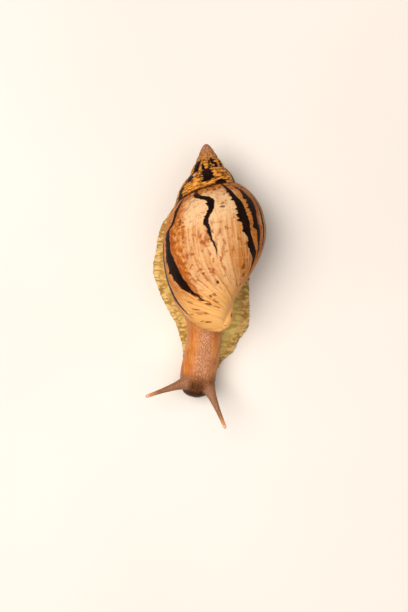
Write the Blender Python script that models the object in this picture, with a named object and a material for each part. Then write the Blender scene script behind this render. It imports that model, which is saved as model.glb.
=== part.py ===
# A giant African land snail (achatina) crawling, as a still, life-size model.
# Metres, +Z up. The head points along -Y and the snail's own right side is -X.
# The origin is on the floor under the middle of the foot.

import math

import bmesh
import bpy
from mathutils import Vector

MM = 0.001
GAP = 0.3 * MM
CUTTER_GAP = 0.45 * MM
OUTSIDE = 1.0

# Shell: a right-handed spiral that widens and descends round an axis from the apex to the base.
# Every length along the axis is measured from the apex, every radius from the axis.
# A turn number of 1 is the outer lip, 0 is one whole turn before it, and so on back to the apex.
APEX = Vector((1.3, 84.4, 30.6)) * MM
SHELL_TURN_IN_PLAN = math.radians(5.5)
SHELL_TILT = math.radians(7.0)
LIP_ANGLE = math.radians(210.0)
LIP_RADIUS = 33.1 * MM
RADIUS_LOSS = 0.281
RADIUS_LOSS_POWER = 3.34
WIDEST_ALONG = 72.0 * MM
WIDEST_GROWTH = 1.6
BASE_ALONG = 118.4 * MM
BASE_DROP = 0.5
BASE_FILL = 3.0 * MM
BASE_FILL_TURN = 0.68
BASE_FILL_SPREAD = 0.1
SUTURE_ALONG = 21.6 * MM
SPIRE_GROWTH = 1.65
SUTURE_CONE = 0.589
LATE_DESCENT = 0.17
LATE_DESCENT_FROM = 0.4
APEX_ROUNDING = 2.2 * MM
APEX_ROUNDING_FADE = 6.0 * MM
APEX_RING = 0.5
COLUMELLA_RADIUS = 6.3 * MM
COLUMELLA_ALONG = 117.0 * MM
COLUMELLA_ROUNDING = 10.0 * MM
COLUMELLA_SPREAD = 3.5 * MM
COLUMELLA_SPREAD_LENGTH = 18.0 * MM
COLUMELLA_BLEND = 3.0
BASE_RIM = 0.15 * MM
BASE_CENTRE_ALONG = 117.3 * MM
FIRST_TURN = -4.4
STEPS_PER_TURN = 70
SPIRE_ROWS = 4
BODY_ROWS = 18
SHOULDER_END_ALONG = 66.0 * MM

# Roundness of a whorl's side above its widest place, and below it.
SHOULDER_POWER = 2.2
SHOULDER_ROOT = 0.8
BASE_POWER = 1.9
BASE_POWER_GAIN = 0.45
BASE_ROOT = 0.45
BASE_ROOT_LOSS = 1.2
LATE_DESCENT_POWER = 1.6

# Aperture: a shallow pocket behind the outer lip, filled by the mantle collar.
LIP_THICKNESS = 1.4 * MM
POCKET_DEPTH = 5.0 * MM
POCKET_OVERSHOOT = 3.0 * MM
MANTLE_STANDOUT = 4.0 * MM
MANTLE_CLEARANCE = 0.4 * MM
APERTURE_TOP_MARGIN = 11.0 * MM
APERTURE_BASE_MARGIN = 6.5 * MM
APERTURE_BASE_ROUNDING = 14.0 * MM
APERTURE_LEAST_WIDTH = 1.0 * MM
APERTURE_STEPS = 18
WALL_TURN = 0.07

# Foot: the flat sole with its frilled margin, as stations from the tail tip to the front.
# Each station has its place, its right and left margins and its top, in mm.
PLATEAU = 7.0 * MM
MARGIN_THICKNESS = 2.0 * MM
MARGIN_SHARE = 0.6
EDGE_DROP = 0.45
FOOT_CROWNING = 0.06
FOOT_STEP = 2.4 * MM
FRILL_PITCH = 8.2 * MM
FRILL_REACH = 0.7 * MM
FRILL_HEIGHT = 0.45 * MM
FOOT_STATIONS = [
    (77.0, -0.6, 2.2, 1.8),
    (74.5, -3.2, 4.8, 4.0),
    (70.0, -6.0, 7.6, 6.4),
    (60.0, -12.5, 13.0, 8.8),
    (48.0, -20.0, 19.0, 7.2),
    (36.0, -27.0, 24.5, 7.0),
    (22.0, -31.3, 28.5, 7.0),
    (6.0, -33.2, 30.0, 7.0),
    (-8.0, -28.5, 29.5, 7.0),
    (-20.0, -23.0, 29.8, 7.0),
    (-29.0, -18.0, 29.6, 7.0),
    (-39.0, -15.0, 23.3, 7.0),
    (-47.0, -14.0, 19.0, 7.0),
    (-53.0, -13.6, 11.6, 7.0),
    (-60.0, -13.0, 8.5, 7.0),
    (-66.0, -10.5, 5.4, 6.2),
    (-69.0, -4.5, -1.0, 4.0),
]
ACROSS = [1.0, 0.975, 0.9, 0.8, 0.68, 0.54, 0.36, 0.18, 0.0]
MARGIN_WIDTH = 0.34
CLIMB_WIDTH = 0.32
FULL_FOOT_HALF_WIDTH = 14.0 * MM

# Body: back, neck and head, as one tapering trunk that is parted with thin cuts.
# Each station has its place, its middle, its half width, its top and its bottom, in mm.
BODY_STEP = 3.0 * MM
BODY_SIDES = 20
BODY_SIDE_POWER = 0.85
BODY_HEIGHT_POWER = 0.9
BODY_STATIONS = [
    (37.0, -4.0, 3.0, 8.2, 3.0),
    (31.0, -5.0, 9.5, 13.0, 3.0),
    (22.0, -6.2, 14.0, 22.0, 3.0),
    (10.0, -6.4, 16.2, 33.0, 3.0),
    (-4.0, -5.4, 16.6, 41.0, 3.0),
    (-16.0, -3.6, 14.6, 40.0, 3.0),
    (-25.0, -1.6, 12.4, 36.0, 3.0),
    (-33.0, -0.6, 11.9, 31.5, 3.0),
    (-45.0, -1.4, 11.5, 29.0, 3.0),
    (-57.0, -2.8, 11.7, 27.8, 4.0),
    (-64.0, -3.5, 11.3, 27.0, 5.0),
    (-70.0, -4.2, 9.3, 24.0, 7.5),
    (-73.6, -4.4, 6.0, 19.5, 9.8),
    (-75.3, -4.5, 1.2, 15.0, 13.0),
]
NECK_FROM_Y = -32.0 * MM
HEAD_FROM_Y = -57.0 * MM
TAIL_FROM_Y = 42.0 * MM

# Tentacles: a root on the head and a tip, with the eye in a small bulb at the end of the upper pair.
UPPER_RIGHT_ROOT = Vector((-9.4, -65.0, 21.6)) * MM
UPPER_RIGHT_TIP = Vector((-34.4, -73.0, 32.0)) * MM
UPPER_LEFT_ROOT = Vector((2.0, -66.8, 21.6)) * MM
UPPER_LEFT_TIP = Vector((12.6, -91.6, 32.0)) * MM
UPPER_RADII = [4.6, 3.7, 3.0, 2.5, 2.12, 1.85, 1.64, 1.46, 1.32, 1.2, 1.12]
UPPER_SAG = 1.2 * MM
LOWER_RIGHT_ROOT = Vector((-8.4, -69.6, 11.0)) * MM
LOWER_RIGHT_TIP = Vector((-12.6, -74.4, 7.2)) * MM
LOWER_LEFT_ROOT = Vector((-0.4, -70.4, 11.0)) * MM
LOWER_LEFT_TIP = Vector((3.0, -75.4, 7.2)) * MM
LOWER_RADII = [1.7, 1.45, 1.2, 1.05, 1.0, 0.85]
LOWER_SAG = 0.3 * MM
EYE_BULB_RADIUS = 1.35 * MM
EYE_BULB_STANDOUT = 0.62

# Mouth: the two lips under the front of the head, and how far the slit reaches back and up between them.
MOUTH_CENTRE = Vector((-4.4, -71.6, 9.0)) * MM
MOUTH_SIZE = Vector((5.2, 3.6, 3.4)) * MM
MOUTH_SLIT_WIDTH = 0.9 * MM
MOUTH_SLIT_BACK = 0.55
MOUTH_SLIT_TOP = 0.3


def start_empty():
    """Remove every object of the open scene."""
    for obj in list(bpy.data.objects):
        bpy.data.objects.remove(obj, do_unlink=True)


def collection(name):
    """Make a collection in the scene."""
    made = bpy.data.collections.new(name)
    bpy.context.scene.collection.children.link(made)
    return made


def material(name, colour, roughness):
    """Make a Principled material of one colour."""
    made = bpy.data.materials.new(name)
    made.use_nodes = True
    shader = made.node_tree.nodes["Principled BSDF"]
    shader.inputs["Base Color"].default_value = (*colour, 1.0)
    shader.inputs["Roughness"].default_value = roughness
    shader.inputs["Metallic"].default_value = 0.0
    return made


def object_from_bmesh(name, bm, target):
    """Turn a bmesh into an object, with its faces pointing out."""
    bmesh.ops.recalc_face_normals(bm, faces=bm.faces)
    mesh = bpy.data.meshes.new(name)
    bm.to_mesh(mesh)
    bm.free()
    obj = bpy.data.objects.new(name, mesh)
    target.objects.link(obj)
    return obj


def keep_largest_surface(obj):
    """Clean a mesh and keep the closed surface with the largest volume."""
    bm = bmesh.new()
    bm.from_mesh(obj.data)
    bmesh.ops.remove_doubles(bm, verts=bm.verts, dist=0.01 * MM)
    bmesh.ops.dissolve_degenerate(bm, edges=bm.edges, dist=0.01 * MM)
    bmesh.ops.triangulate(bm, faces=bm.faces)
    unseen = set(bm.faces)
    surfaces = []
    while unseen:
        island = []
        waiting = [unseen.pop()]
        while waiting:
            face = waiting.pop()
            island.append(face)
            for edge in face.edges:
                for near in edge.link_faces:
                    if near in unseen:
                        unseen.remove(near)
                        waiting.append(near)
        surfaces.append(island)

    def volume(island):
        total = 0.0
        for face in island:
            first, second, third = (v.co for v in face.verts)
            total += first.dot(second.cross(third)) / 6.0
        return abs(total)

    surfaces.sort(key=volume, reverse=True)
    loose = [face for island in surfaces[1:] for face in island]
    bmesh.ops.delete(bm, geom=loose, context="FACES")
    bmesh.ops.recalc_face_normals(bm, faces=bm.faces)
    bm.to_mesh(obj.data)
    bm.free()
    obj.data.update()


def boolean(obj, other, operation):
    """Apply one Boolean with another object and clean the result."""
    modifier = obj.modifiers.new("cut", "BOOLEAN")
    modifier.operation = operation
    modifier.object = other
    bpy.context.view_layer.update()
    depsgraph = bpy.context.evaluated_depsgraph_get()
    mesh = bpy.data.meshes.new_from_object(obj.evaluated_get(depsgraph))
    obj.modifiers.clear()
    old = obj.data
    obj.data = mesh
    bpy.data.meshes.remove(old)
    keep_largest_surface(obj)


def copy_of(obj, name, target):
    """Copy an object with a mesh of its own."""
    twin = bpy.data.objects.new(name, obj.data.copy())
    target.objects.link(twin)
    return twin


def grown_copy(obj, name, target, amount):
    """Copy an object with every point moved out along its normal."""
    twin = copy_of(obj, name, target)
    bm = bmesh.new()
    bm.from_mesh(twin.data)
    bm.normal_update()
    moved = [(vertex, vertex.co + vertex.normal * amount) for vertex in bm.verts]
    for vertex, place in moved:
        vertex.co = place
    bm.to_mesh(twin.data)
    bm.free()
    return twin


def box_cutter(name, low, high, target):
    """Make a box between two corners."""
    bm = bmesh.new()
    bmesh.ops.create_cube(bm, size=1.0)
    for vertex in bm.verts:
        for axis in range(3):
            middle = (low[axis] + high[axis]) / 2
            vertex.co[axis] = middle + vertex.co[axis] * (high[axis] - low[axis])
    return object_from_bmesh(name, bm, target)


def finish_node(obj, surface, smooth_angle=50.0):
    """Give a node its material and smooth shading."""
    obj.data.materials.clear()
    obj.data.materials.append(surface)
    obj.data.shade_smooth()
    obj.data.set_sharp_from_angle(angle=math.radians(smooth_angle))


def curve_through(stations, column, place):
    """Read one column of a list of stations as a smooth curve. The stations' places fall."""
    xs = [row[0] for row in stations][::-1]
    ys = [row[column] for row in stations][::-1]
    x = min(max(place, xs[0]), xs[-1])
    i = max(k for k in range(len(xs) - 1) if xs[k] <= x)

    def slope(k):
        if k == 0 or k == len(xs) - 1:
            low, high = (0, 1) if k == 0 else (k - 1, k)
            return (ys[high] - ys[low]) / (xs[high] - xs[low])
        before = (ys[k] - ys[k - 1]) / (xs[k] - xs[k - 1])
        after = (ys[k + 1] - ys[k]) / (xs[k + 1] - xs[k])
        if before * after <= 0:
            return 0.0
        return 2 * before * after / (before + after)

    span = xs[i + 1] - xs[i]
    t = (x - xs[i]) / span
    start = (1 + 2 * t) * (1 - t) ** 2 * ys[i] + t * (1 - t) ** 2 * span * slope(i)
    end = t * t * (3 - 2 * t) * ys[i + 1] + t * t * (t - 1) * span * slope(i + 1)
    return start + end


# Shell

AXIS = Vector((
    math.sin(SHELL_TURN_IN_PLAN) * math.cos(SHELL_TILT),
    -math.cos(SHELL_TURN_IN_PLAN) * math.cos(SHELL_TILT),
    math.sin(SHELL_TILT),
))
SIDE = Vector((math.cos(SHELL_TURN_IN_PLAN), math.sin(SHELL_TURN_IN_PLAN), 0.0))
CROWN = AXIS.cross(SIDE)
LIP_OUT = SIDE * math.cos(LIP_ANGLE) + CROWN * math.sin(LIP_ANGLE)
LIP_FACING = CROWN * math.cos(LIP_ANGLE) - SIDE * math.sin(LIP_ANGLE)


def shell_point(turn, along, radius):
    """Place a point of the shell from its turn number, its way along the axis and its radius."""
    angle = LIP_ANGLE + 2 * math.pi * (turn - 1)
    out = SIDE * math.cos(angle) + CROWN * math.sin(angle)
    return APEX + AXIS * along + out * radius


def suture_along(turn):
    """Way along the axis of the suture that starts a whorl."""
    late = max(0.0, (turn - LATE_DESCENT_FROM) / (1 - LATE_DESCENT_FROM))
    descent = math.exp(LATE_DESCENT * late ** LATE_DESCENT_POWER)
    return SUTURE_ALONG * SPIRE_GROWTH ** turn * descent


def suture_radius(along):
    """Radius of the suture on the spire's cone, rounded off at the apex."""
    rounding = 2 * APEX_ROUNDING * along * math.exp(-along / APEX_ROUNDING_FADE)
    return math.sqrt((SUTURE_CONE * along) ** 2 + rounding)


def widest_along(turn):
    """Way along the axis of a whorl's widest place."""
    if turn < 0:
        return WIDEST_ALONG / WIDEST_GROWTH * SPIRE_GROWTH ** turn
    return WIDEST_ALONG * WIDEST_GROWTH ** (turn - 1)


def whorl_radius(turn):
    """Largest radius of the last whorl, which widens ever more slowly."""
    return LIP_RADIUS * math.exp(-RADIUS_LOSS * (1 - turn) ** RADIUS_LOSS_POWER)


def shoulder(part):
    """Rise of a whorl's side from its suture (0) to its widest place (1)."""
    part = min(max(part, 0.0), 1.0)
    return (1 - (1 - part) ** SHOULDER_POWER) ** SHOULDER_ROOT


def body_profile(turn, along):
    """Radius of the last whorl at a way along the axis."""
    start = suture_along(turn)
    widest = widest_along(turn)
    low = suture_radius(start)
    high = whorl_radius(turn)
    if along <= widest:
        return low + (high - low) * shoulder((along - start) / (widest - start))
    base = base_along(turn)
    fall = min((along - widest) / (base - widest), 1.0)
    power = BASE_POWER + BASE_POWER_GAIN * turn
    root = BASE_ROOT + math.tanh(BASE_ROOT_LOSS * (1 - turn))
    egg = high * max(0.0, 1 - fall ** power) ** root
    to_end = (COLUMELLA_ALONG - along) / COLUMELLA_ROUNDING
    spread = COLUMELLA_SPREAD * math.tanh(max(0.0, to_end - 1) * COLUMELLA_ROUNDING / COLUMELLA_SPREAD_LENGTH)
    pillar = (COLUMELLA_RADIUS + spread) * math.sqrt(max(0.0, 1 - max(0.0, 1 - to_end) ** 2))
    return (egg ** COLUMELLA_BLEND + pillar ** COLUMELLA_BLEND) ** (1 / COLUMELLA_BLEND)


def base_along(turn):
    """Way along the axis where the whorl's side would reach the axis."""
    fill = BASE_FILL * math.exp(-((turn - BASE_FILL_TURN) / BASE_FILL_SPREAD) ** 2)
    return BASE_ALONG * math.exp(-BASE_DROP * (1 - turn) ** 2) + fill


def base_end(turn):
    """Way along the axis where a column of the last whorl ends."""
    return max(base_along(turn), COLUMELLA_ALONG) - BASE_RIM


def spire_column(turn, rows):
    """Points of a spire whorl, from its own suture to the next one."""
    start = suture_along(turn)
    end = suture_along(turn + 1)
    low = suture_radius(start)
    high = suture_radius(end)
    share = (end - start) / (max(widest_along(turn), end) - start)
    points = []
    for row in range(rows + 1):
        part = row / rows
        along = start + (end - start) * part
        rise = shoulder(share * part) / shoulder(share)
        points.append((along, low + (high - low) * rise))
    return points


def body_column(turn, upper_rows, lower_rows):
    """Points of the last whorl, from its suture to the base."""
    start = suture_along(turn)
    first_middle = suture_along(1)
    middle = first_middle * (SHOULDER_END_ALONG / first_middle) ** turn
    end = base_end(turn)
    places = [start + (middle - start) * row / upper_rows for row in range(upper_rows + 1)]
    for row in range(1, lower_rows + 1):
        places.append(middle + (end - middle) * math.sin(math.pi / 2 * row / lower_rows))
    return [(along, body_profile(turn, along)) for along in places]


def close_apex(bm, columns):
    """Close the start of the spiral with a low dome."""
    ring = []
    for step in range(STEPS_PER_TURN):
        turn = FIRST_TURN + step / STEPS_PER_TURN
        along = suture_along(turn)
        radius = suture_radius(along) * APEX_RING
        ring.append(bm.verts.new(shell_point(turn, along * APEX_RING ** 2, radius)))
    tip = bm.verts.new(shell_point(FIRST_TURN, 0.0, 0.0))
    start = columns[0]
    for step in range(STEPS_PER_TURN):
        after = (step + 1) % STEPS_PER_TURN
        bm.faces.new((ring[step], ring[after], tip))
        rim = [columns[step + 1][0]]
        if after == 0:
            rim = start[:SPIRE_ROWS + 1]
        bm.faces.new([ring[after]] + rim + [columns[step][0], ring[step]])


def make_shell(name, target):
    """Loft the whole shell as one closed spiral surface, its aperture closed by a flat face."""
    bm = bmesh.new()
    steps_before = round(-FIRST_TURN * STEPS_PER_TURN)
    total = steps_before + STEPS_PER_TURN
    columns = []
    for step in range(total + 1):
        turn = FIRST_TURN + step / STEPS_PER_TURN
        if step < steps_before:
            points = spire_column(turn, SPIRE_ROWS)
        else:
            points = body_column(turn, SPIRE_ROWS, BODY_ROWS)
        columns.append([shell_point(turn, *point) for point in points])

    vertices = []
    for step, points in enumerate(columns):
        column = []
        for row, place in enumerate(points):
            if step >= STEPS_PER_TURN and row == 0:
                column.append(vertices[step - STEPS_PER_TURN][SPIRE_ROWS])
            else:
                column.append(bm.verts.new(place))
        vertices.append(column)

    for step in range(total):
        here, there = vertices[step], vertices[step + 1]
        for row in range(min(len(here), len(there)) - 1):
            bm.faces.new((here[row], there[row], there[row + 1], here[row + 1]))

    close_apex(bm, vertices)

    centre = bm.verts.new(shell_point(1, BASE_CENTRE_ALONG, 0.0))
    for step in range(steps_before, total):
        bm.faces.new((vertices[step][-1], vertices[step + 1][-1], centre))

    aperture = list(vertices[total]) + [centre] + vertices[steps_before][:SPIRE_ROWS:-1]
    bm.faces.new(aperture)
    bmesh.ops.triangulate(bm, faces=bm.faces)
    return object_from_bmesh(name, bm, target)


def aperture_prism(name, inset, low, high, target):
    """A prism of the aperture's outline, from one distance to another beyond the lip's plane."""
    top = suture_along(1) + APERTURE_TOP_MARGIN + inset
    base = BASE_ALONG - APERTURE_BASE_MARGIN - inset
    outer = []
    inner = []
    for step in range(APERTURE_STEPS + 1):
        along = top + (base - top) * math.sin(math.pi / 2 * step / APERTURE_STEPS)
        lip = body_profile(1, along) - LIP_THICKNESS - inset
        wall = max(body_profile(WALL_TURN, along), COLUMELLA_RADIUS) + LIP_THICKNESS + inset
        near_base = max(0.0, 1 - (base - along) / APERTURE_BASE_ROUNDING)
        width = (lip - wall) * math.sqrt(max(0.0, 1 - near_base ** 2))
        outer.append((along, wall + max(width, APERTURE_LEAST_WIDTH)))
        inner.append((along, wall))
    bm = bmesh.new()
    loops = []
    for height in (low, high):
        loop = []
        for along, radius in outer + inner[::-1]:
            loop.append(bm.verts.new(APEX + AXIS * along + LIP_OUT * radius + LIP_FACING * height))
        loops.append(loop)
    count = len(loops[0])
    for i in range(count):
        j = (i + 1) % count
        bm.faces.new((loops[0][i], loops[0][j], loops[1][j], loops[1][i]))
    bm.faces.new(loops[0])
    bm.faces.new(loops[1])
    bmesh.ops.triangulate(bm, faces=bm.faces)
    return object_from_bmesh(name, bm, target)


# Foot

def foot_section(y, parts):
    """Points of one cross-section of the foot, from the snail's left margin over the top to the right."""
    place = y / MM
    right, left, top = (curve_through(FOOT_STATIONS, column, place) * MM for column in (1, 2, 3))
    middle = (left + right) / 2
    half = (left - right) / 2
    fullness = min(1.0, half / FULL_FOOT_HALF_WIDTH)
    edge = min(MARGIN_THICKNESS, MARGIN_SHARE * top)
    limit = PLATEAU if top <= PLATEAU else top
    points = []
    for side, reach in ((1, left), (-1, right)):
        wave = math.sin(2 * math.pi * y / FRILL_PITCH + side)
        reach += side * FRILL_REACH * wave * fullness
        row = [(reach, EDGE_DROP * edge)]
        for part in parts[1:]:
            x = middle + (reach - middle) * part
            climb = min(1.0, (1 - part) / CLIMB_WIDTH)
            climb = climb * climb * (3 - 2 * climb)
            z = edge + (top - edge) * climb + FOOT_CROWNING * top * (1 - part * part)
            if part > 1 - MARGIN_WIDTH:
                z += FRILL_HEIGHT * wave * fullness * math.sin(math.pi * (1 - part) / MARGIN_WIDTH)
            row.append((x, min(z, limit)))
        points.append(row)
    left_row, right_row = points
    return left_row + right_row[-2::-1]


def make_foot(name, target):
    """Loft the foot along its length, with a flat sole."""
    bm = bmesh.new()
    front = FOOT_STATIONS[-1][0] * MM
    back = FOOT_STATIONS[0][0] * MM
    count = round((back - front) / FOOT_STEP)
    rings = []
    for step in range(count + 1):
        y = back + (front - back) * step / count
        section = foot_section(y, ACROSS)
        top = [bm.verts.new((x, y, z)) for x, z in section]
        sole_right = bm.verts.new((section[-1][0], y, 0.0))
        sole_left = bm.verts.new((section[0][0], y, 0.0))
        rings.append(top + [sole_right, sole_left])
    loft(bm, rings)
    return object_from_bmesh(name, bm, target)


def loft(bm, rings):
    """Join closed rings of equal length and close both ends."""
    size = len(rings[0])
    for here, there in zip(rings, rings[1:]):
        for i in range(size):
            j = (i + 1) % size
            bm.faces.new((here[i], here[j], there[j], there[i]))
    bm.faces.new(rings[0])
    bm.faces.new(rings[-1][::-1])
    bmesh.ops.triangulate(bm, faces=bm.faces)


# Body

def make_body(name, target):
    """Loft the trunk from the back to the front of the head."""
    bm = bmesh.new()
    back = BODY_STATIONS[0][0] * MM
    front = BODY_STATIONS[-1][0] * MM
    count = round((back - front) / BODY_STEP)
    rings = []
    for step in range(count + 1):
        part = math.sin(math.pi / 2 * step / count) ** BODY_SIDE_POWER
        y = back + (front - back) * part
        place = y / MM
        x_middle, half, top, bottom = (
            curve_through(BODY_STATIONS, column, place) * MM for column in (1, 2, 3, 4))
        ring = []
        for side in range(BODY_SIDES):
            angle = 2 * math.pi * side / BODY_SIDES
            x = math.copysign(abs(math.cos(angle)) ** BODY_SIDE_POWER, math.cos(angle))
            z = math.copysign(abs(math.sin(angle)) ** BODY_HEIGHT_POWER, math.sin(angle))
            height = (top + bottom) / 2 + (top - bottom) / 2 * z
            ring.append(bm.verts.new((x_middle + half * x, y, height)))
        rings.append(ring)
    loft(bm, rings)
    return object_from_bmesh(name, bm, target)


def slab(whole, name, front_y, rear_y, bottom_z, parts, cutters):
    """Part a node from a whole body, between two cuts across it and above a level."""
    node = copy_of(whole, name, parts)
    low = (-OUTSIDE, front_y + GAP / 2, bottom_z)
    high = (OUTSIDE, rear_y - GAP / 2, OUTSIDE)
    box = box_cutter("box_" + name, low, high, cutters)
    boolean(node, box, "INTERSECT")
    bpy.data.objects.remove(box, do_unlink=True)
    return node


# Tentacles, eyes and mouth

def tube(name, root, tip, radii, sag, target):
    """A tapering tentacle on a slightly bent line, as a closed mesh."""
    curve = bpy.data.curves.new(name, "CURVE")
    curve.dimensions = "3D"
    curve.bevel_depth = 1.0
    curve.bevel_resolution = 3
    curve.use_fill_caps = True
    spline = curve.splines.new("POLY")
    spline.points.add(len(radii) - 1)
    for i, radius in enumerate(radii):
        part = i / (len(radii) - 1)
        place = root.lerp(tip, part)
        place.z -= sag * math.sin(math.pi * part)
        spline.points[i].co = (*place, 1.0)
        spline.points[i].radius = radius * MM
    wire = bpy.data.objects.new(name, curve)
    target.objects.link(wire)
    bpy.context.view_layer.update()
    depsgraph = bpy.context.evaluated_depsgraph_get()
    mesh = bpy.data.meshes.new_from_object(wire.evaluated_get(depsgraph))
    bpy.data.objects.remove(wire, do_unlink=True)
    bm = bmesh.new()
    bm.from_mesh(mesh)
    bpy.data.meshes.remove(mesh)
    bmesh.ops.remove_doubles(bm, verts=bm.verts, dist=0.02 * MM)
    bmesh.ops.triangulate(bm, faces=bm.faces)
    return object_from_bmesh(name, bm, target)


def eye_bulb(name, root, tip, target):
    """The round knob at a tentacle's end, flat where it meets the tentacle."""
    forward = (tip - root).normalized()
    flat = tip + forward * GAP
    centre = flat + forward * EYE_BULB_RADIUS * EYE_BULB_STANDOUT
    bm = bmesh.new()
    bmesh.ops.create_uvsphere(bm, u_segments=12, v_segments=8, radius=EYE_BULB_RADIUS)
    bmesh.ops.translate(bm, verts=bm.verts, vec=centre)
    cut = bmesh.ops.bisect_plane(
        bm, geom=bm.verts[:] + bm.edges[:] + bm.faces[:], dist=1e-7,
        plane_co=flat, plane_no=forward, clear_inner=True,
    )
    rim = [item for item in cut["geom_cut"] if isinstance(item, bmesh.types.BMEdge)]
    bmesh.ops.contextual_create(bm, geom=rim)
    bmesh.ops.triangulate(bm, faces=bm.faces)
    return object_from_bmesh(name, bm, target)


def make_mouth(name, target, cutters):
    """Two soft lips parted by an upright slit."""
    bm = bmesh.new()
    bmesh.ops.create_uvsphere(bm, u_segments=16, v_segments=10, radius=1.0)
    for vertex in bm.verts:
        for axis in range(3):
            vertex.co[axis] = MOUTH_CENTRE[axis] + vertex.co[axis] * MOUTH_SIZE[axis]
    mouth = object_from_bmesh(name, bm, target)
    low = MOUTH_CENTRE - Vector((MOUTH_SLIT_WIDTH / 2, 2 * MOUTH_SIZE.y, 2 * MOUTH_SIZE.z))
    slit_end = Vector((MOUTH_SLIT_WIDTH / 2, -MOUTH_SLIT_BACK * MOUTH_SIZE.y, MOUTH_SLIT_TOP * MOUTH_SIZE.z))
    high = MOUTH_CENTRE + slit_end
    slit = box_cutter("mouth_slit", low, high, cutters)
    boolean(mouth, slit, "DIFFERENCE")
    bpy.data.objects.remove(slit, do_unlink=True)
    return mouth


def main():
    start_empty()
    parts = collection("achatina_snail")
    cutters = collection("cutters")

    shell_brown = material("shell_brown", (0.78, 0.47, 0.22), 0.35)
    flesh = material("flesh", (0.55, 0.33, 0.22), 0.45)
    foot_flesh = material("foot_flesh", (0.62, 0.50, 0.27), 0.55)
    mantle_flesh = material("mantle_flesh", (0.66, 0.48, 0.30), 0.45)
    eye_dark = material("eye_dark", (0.10, 0.07, 0.06), 0.2)

    shell = make_shell("shell", parts)
    shell_cutter = grown_copy(shell, "shell_cutter", cutters, CUTTER_GAP)
    pocket = aperture_prism("pocket", 0.0, -POCKET_DEPTH, POCKET_OVERSHOOT, cutters)
    boolean(shell, pocket, "DIFFERENCE")
    mantle = aperture_prism(
        "mantle_collar", MANTLE_CLEARANCE, MANTLE_CLEARANCE - POCKET_DEPTH, MANTLE_STANDOUT, parts)
    keep_largest_surface(mantle)

    foot = make_foot("foot_whole", cutters)
    tail = slab(foot, "tail", TAIL_FROM_Y, OUTSIDE, -OUTSIDE, parts, cutters)
    foot_middle = slab(foot, "foot_middle", NECK_FROM_Y, TAIL_FROM_Y, -OUTSIDE, parts, cutters)
    foot_front = slab(foot, "foot_front", -OUTSIDE, NECK_FROM_Y, -OUTSIDE, parts, cutters)

    trunk = make_body("trunk_whole", cutters)
    above = PLATEAU + GAP
    back = slab(trunk, "back", NECK_FROM_Y, OUTSIDE, above, parts, cutters)
    neck = slab(trunk, "neck", HEAD_FROM_Y, NECK_FROM_Y, above, parts, cutters)
    head = slab(trunk, "head", -OUTSIDE, HEAD_FROM_Y, above, parts, cutters)

    roof = box_cutter("mantle_plane", (-OUTSIDE, -OUTSIDE, 0.0), (OUTSIDE, OUTSIDE, OUTSIDE), cutters)
    roof.matrix_world = LIP_FACING.to_track_quat("-Z", "Y").to_matrix().to_4x4()
    roof.location = APEX + AXIS * WIDEST_ALONG + LIP_FACING * (MANTLE_STANDOUT + GAP)
    bpy.context.view_layer.update()
    boolean(back, roof, "DIFFERENCE")
    boolean(back, shell_cutter, "DIFFERENCE")
    boolean(neck, shell_cutter, "DIFFERENCE")

    head_cutter = grown_copy(head, "head_cutter", cutters, CUTTER_GAP)
    uppers = []
    eyes = []
    for side, root, tip in (
        ("right", UPPER_RIGHT_ROOT, UPPER_RIGHT_TIP),
        ("left", UPPER_LEFT_ROOT, UPPER_LEFT_TIP),
    ):
        horn = tube("upper_tentacle_" + side, root, tip, UPPER_RADII, UPPER_SAG, parts)
        boolean(horn, head_cutter, "DIFFERENCE")
        uppers.append(horn)
        eyes.append(eye_bulb("eye_" + side, root, tip, parts))
    mouth = make_mouth("mouth", parts, cutters)
    boolean(mouth, head_cutter, "DIFFERENCE")
    mouth_cutter = grown_copy(mouth, "mouth_cutter", cutters, CUTTER_GAP)
    lowers = []
    for side, root, tip in (
        ("right", LOWER_RIGHT_ROOT, LOWER_RIGHT_TIP),
        ("left", LOWER_LEFT_ROOT, LOWER_LEFT_TIP),
    ):
        feeler = tube("lower_tentacle_" + side, root, tip, LOWER_RADII, LOWER_SAG, parts)
        boolean(feeler, head_cutter, "DIFFERENCE")
        boolean(feeler, mouth_cutter, "DIFFERENCE")
        lowers.append(feeler)

    for cutter in (foot, trunk, roof, pocket, shell_cutter, head_cutter, mouth_cutter):
        bpy.data.objects.remove(cutter, do_unlink=True)

    finish_node(shell, shell_brown)
    finish_node(mantle, mantle_flesh)
    for node in (tail, foot_middle, foot_front):
        finish_node(node, foot_flesh)
    for node in [back, neck, head, mouth] + uppers + lowers:
        finish_node(node, flesh)
    for node in eyes:
        finish_node(node, eye_dark)


main()
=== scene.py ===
"""Looks of the giant African land snail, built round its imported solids."""

import itertools
import math

import bpy
import numpy as np
from mathutils import Matrix, Vector


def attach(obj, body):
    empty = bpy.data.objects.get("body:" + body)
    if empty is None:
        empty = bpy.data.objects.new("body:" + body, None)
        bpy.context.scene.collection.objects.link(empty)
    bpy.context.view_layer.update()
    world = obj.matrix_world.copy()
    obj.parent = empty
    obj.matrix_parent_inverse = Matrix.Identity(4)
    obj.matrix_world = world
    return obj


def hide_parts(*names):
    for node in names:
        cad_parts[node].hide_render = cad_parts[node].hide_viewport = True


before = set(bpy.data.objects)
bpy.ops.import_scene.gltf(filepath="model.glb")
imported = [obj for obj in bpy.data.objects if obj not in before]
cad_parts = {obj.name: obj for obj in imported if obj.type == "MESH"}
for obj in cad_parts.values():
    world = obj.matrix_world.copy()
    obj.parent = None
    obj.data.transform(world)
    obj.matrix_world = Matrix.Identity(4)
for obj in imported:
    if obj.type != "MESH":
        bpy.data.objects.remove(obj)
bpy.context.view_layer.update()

MM = 0.001

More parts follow.
